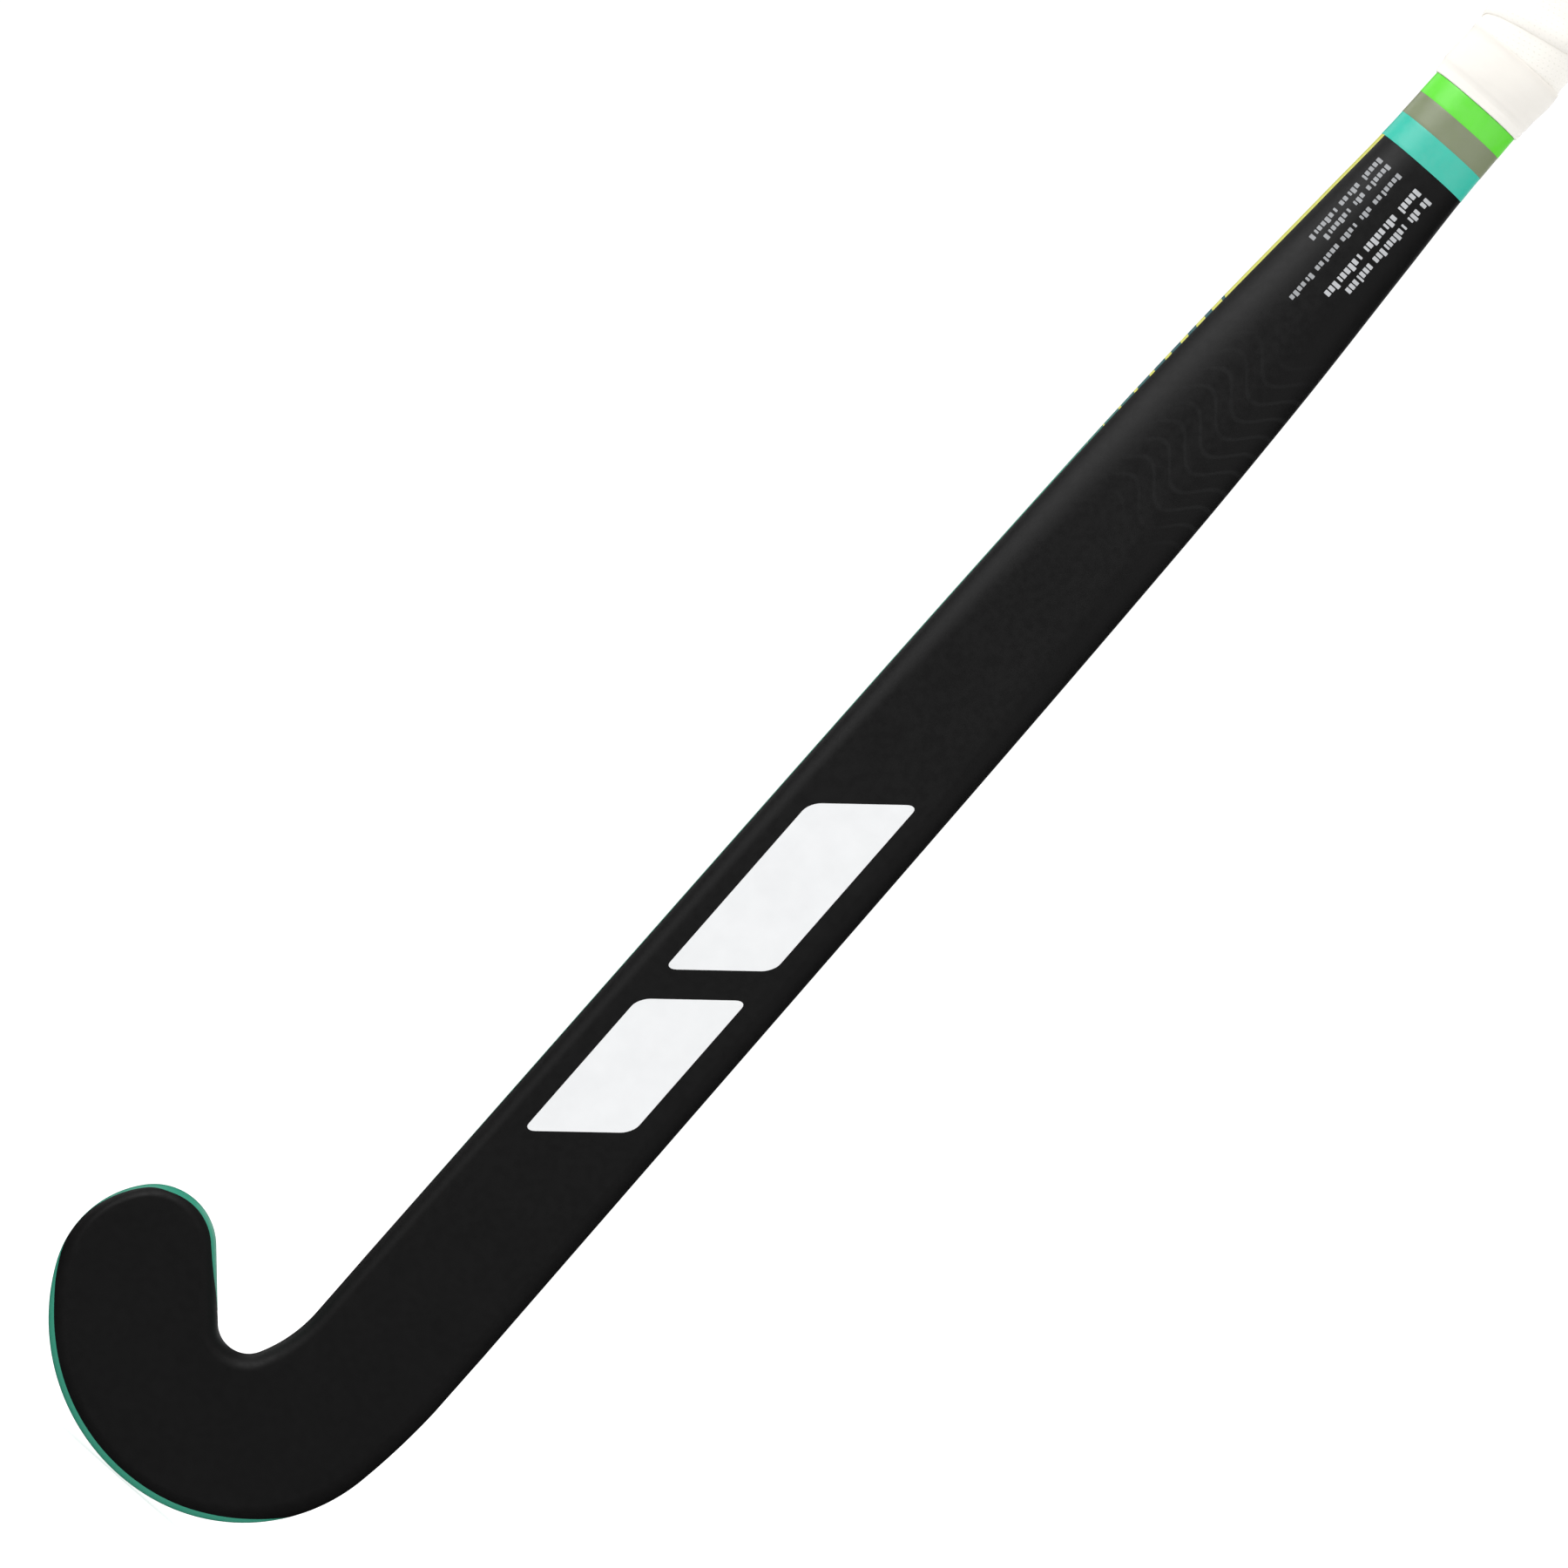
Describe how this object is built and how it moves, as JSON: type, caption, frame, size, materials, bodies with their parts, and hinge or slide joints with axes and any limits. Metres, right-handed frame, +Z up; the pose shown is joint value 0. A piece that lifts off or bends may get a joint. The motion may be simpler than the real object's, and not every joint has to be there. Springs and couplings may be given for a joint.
{
  "type": "field hockey stick",
  "caption": "Composite field hockey stick with a flat playing face, hooked head, gently bowed shaft, coloured bands and a taped grip with a rubber end cap.",
  "frame": {"origin": "on the handle's axis, 760 mm above the lowest point of the head, where the hands hold the stick", "axes": "+Z up the chord of the shaft towards the butt, +X to the heel side so the toe points to -X, and the flat playing face looks to -Y"},
  "size_m": [0.1214, 0.0448, 0.9268],
  "materials": {
    "black_lacquer": "satin black lacquer over composite laminate, with faint tonal zigzag lines on the upper shaft",
    "teal_lacquer": "satin teal lacquer on the back, passing through graded stripes to yellow below the bands",
    "aramid_cloth": "resin-soaked yellow aramid weave",
    "moulded_foam": "closed-cell rigid foam",
    "carbon_composite": "pressed carbon fibre laminate, unpainted",
    "damping_gel": "soft translucent gel",
    "plug_plastic": "moulded nylon",
    "cushion_foam": "thin closed-cell sheet",
    "grip_polyurethane": "white tacky polyurethane tape, spiral wound",
    "white_tape": "stretchy matt tape",
    "teal_film": "satin vinyl",
    "khaki_film": "satin vinyl",
    "green_film": "satin vinyl",
    "white_film": "satin white print film",
    "label_print": "fine pale print under clear film",
    "cap_rubber": "moulded white rubber"
  },
  "bodies": {
    "root": {"face_laminate": "black_lacquer", "back_laminate": "teal_lacquer", "impact_ply": "aramid_cloth", "head_core": "moulded_foam", "centre_web": "carbon_composite", "toe_side_tube": "carbon_composite", "heel_side_tube": "carbon_composite", "handle_foam": "moulded_foam", "gel_damper": "damping_gel", "end_plug": "plug_plastic", "cushion_underwrap": "cushion_foam", "grip_wrap": "grip_polyurethane", "finishing_tape": "white_tape", "teal_band": "teal_film", "khaki_band": "khaki_film", "green_band": "green_film", "face_mark_lower": "white_film", "face_mark_upper": "white_film", "info_label": "label_print", "end_cap": "cap_rubber"}
  },
  "joints": []
}
